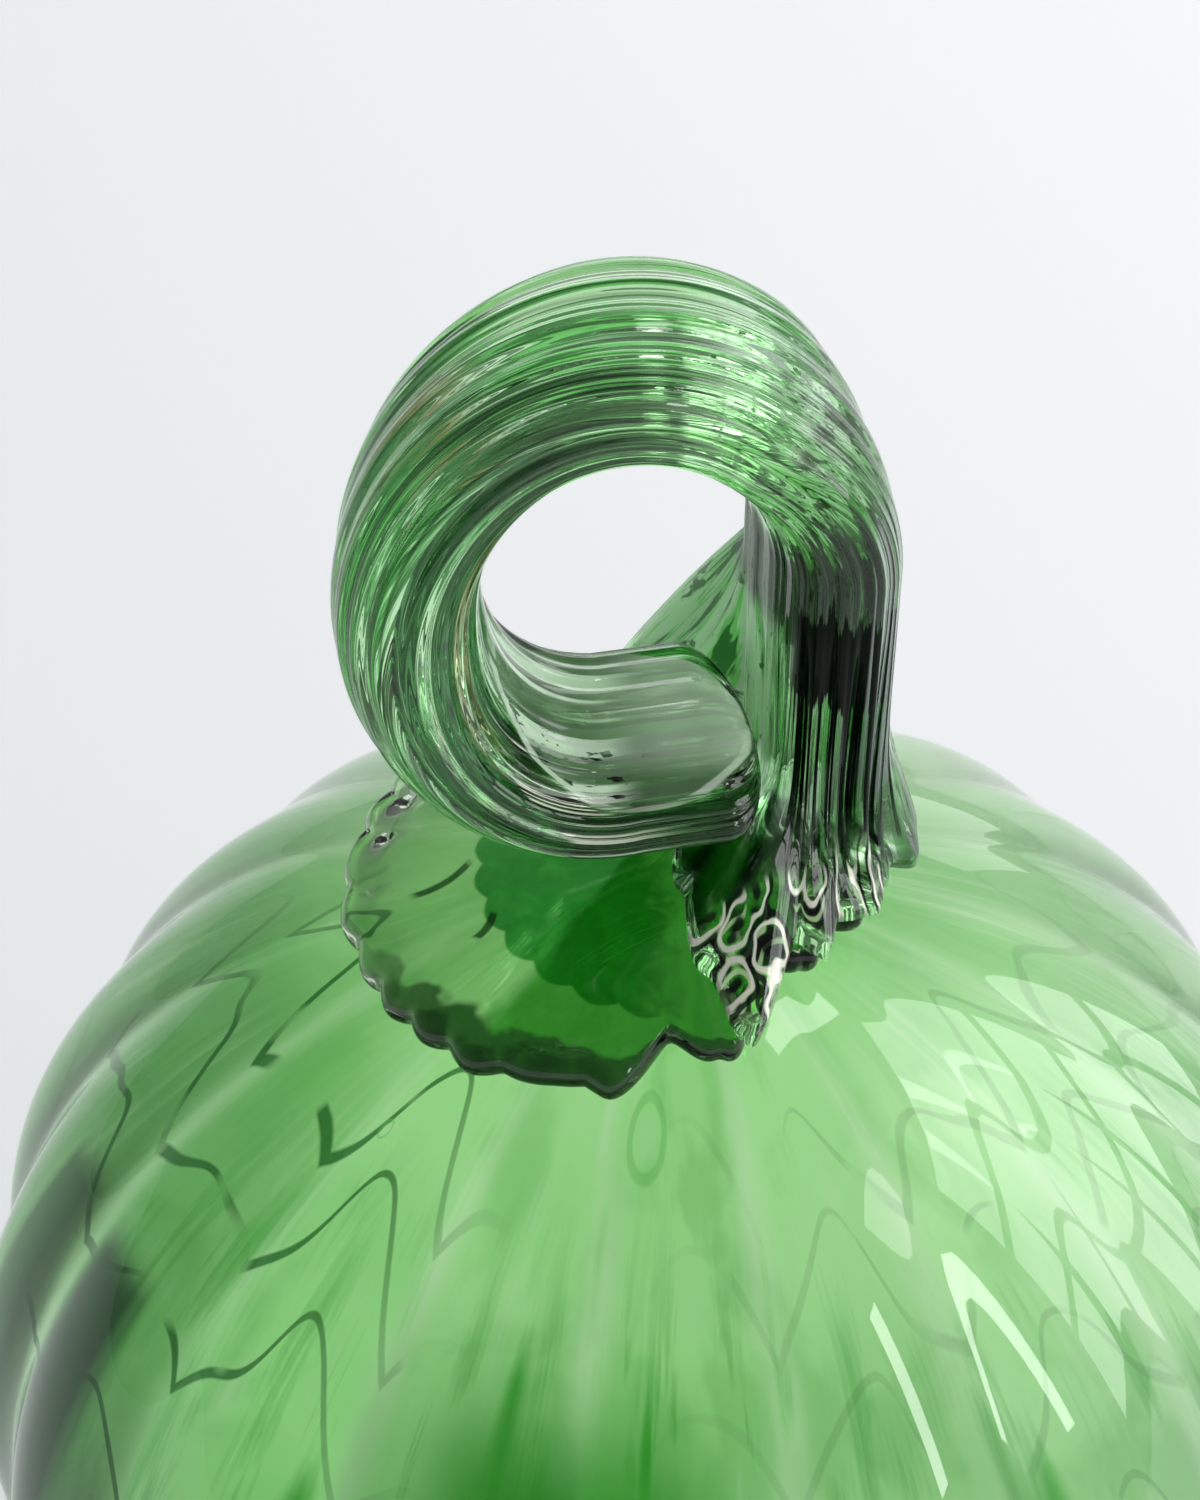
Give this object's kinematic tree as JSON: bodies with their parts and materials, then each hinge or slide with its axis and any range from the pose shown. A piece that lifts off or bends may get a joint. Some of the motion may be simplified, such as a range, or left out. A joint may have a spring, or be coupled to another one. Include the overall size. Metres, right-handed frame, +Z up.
{
  "type": "glass pumpkin ornament",
  "caption": "Hollow ribbed blown-glass pumpkin with a scalloped glass foot on its crown and a ribbed glass stem that turns one full curl; it stands on a ground ring.",
  "frame": {"origin": "on the floor, under the axis of the blown body, at the bottom centre of the whole object", "axes": "+Z up along the body's axis; -Y is the front, the side of the claws and of the open eye of the curl; +X is the trunk's side"},
  "size_m": [0.1482, 0.15, 0.1774],
  "materials": {
    "body_glass": "glossy translucent green glass with pale streaks along its ribs",
    "foot_glass": "glossy clear green glass",
    "stem_glass": "glossy clear deep green glass with fine ribs"
  },
  "bodies": {
    "root": {"glass_body": "body_glass", "stem_foot": "foot_glass", "stem_curl": "stem_glass"}
  },
  "joints": []
}
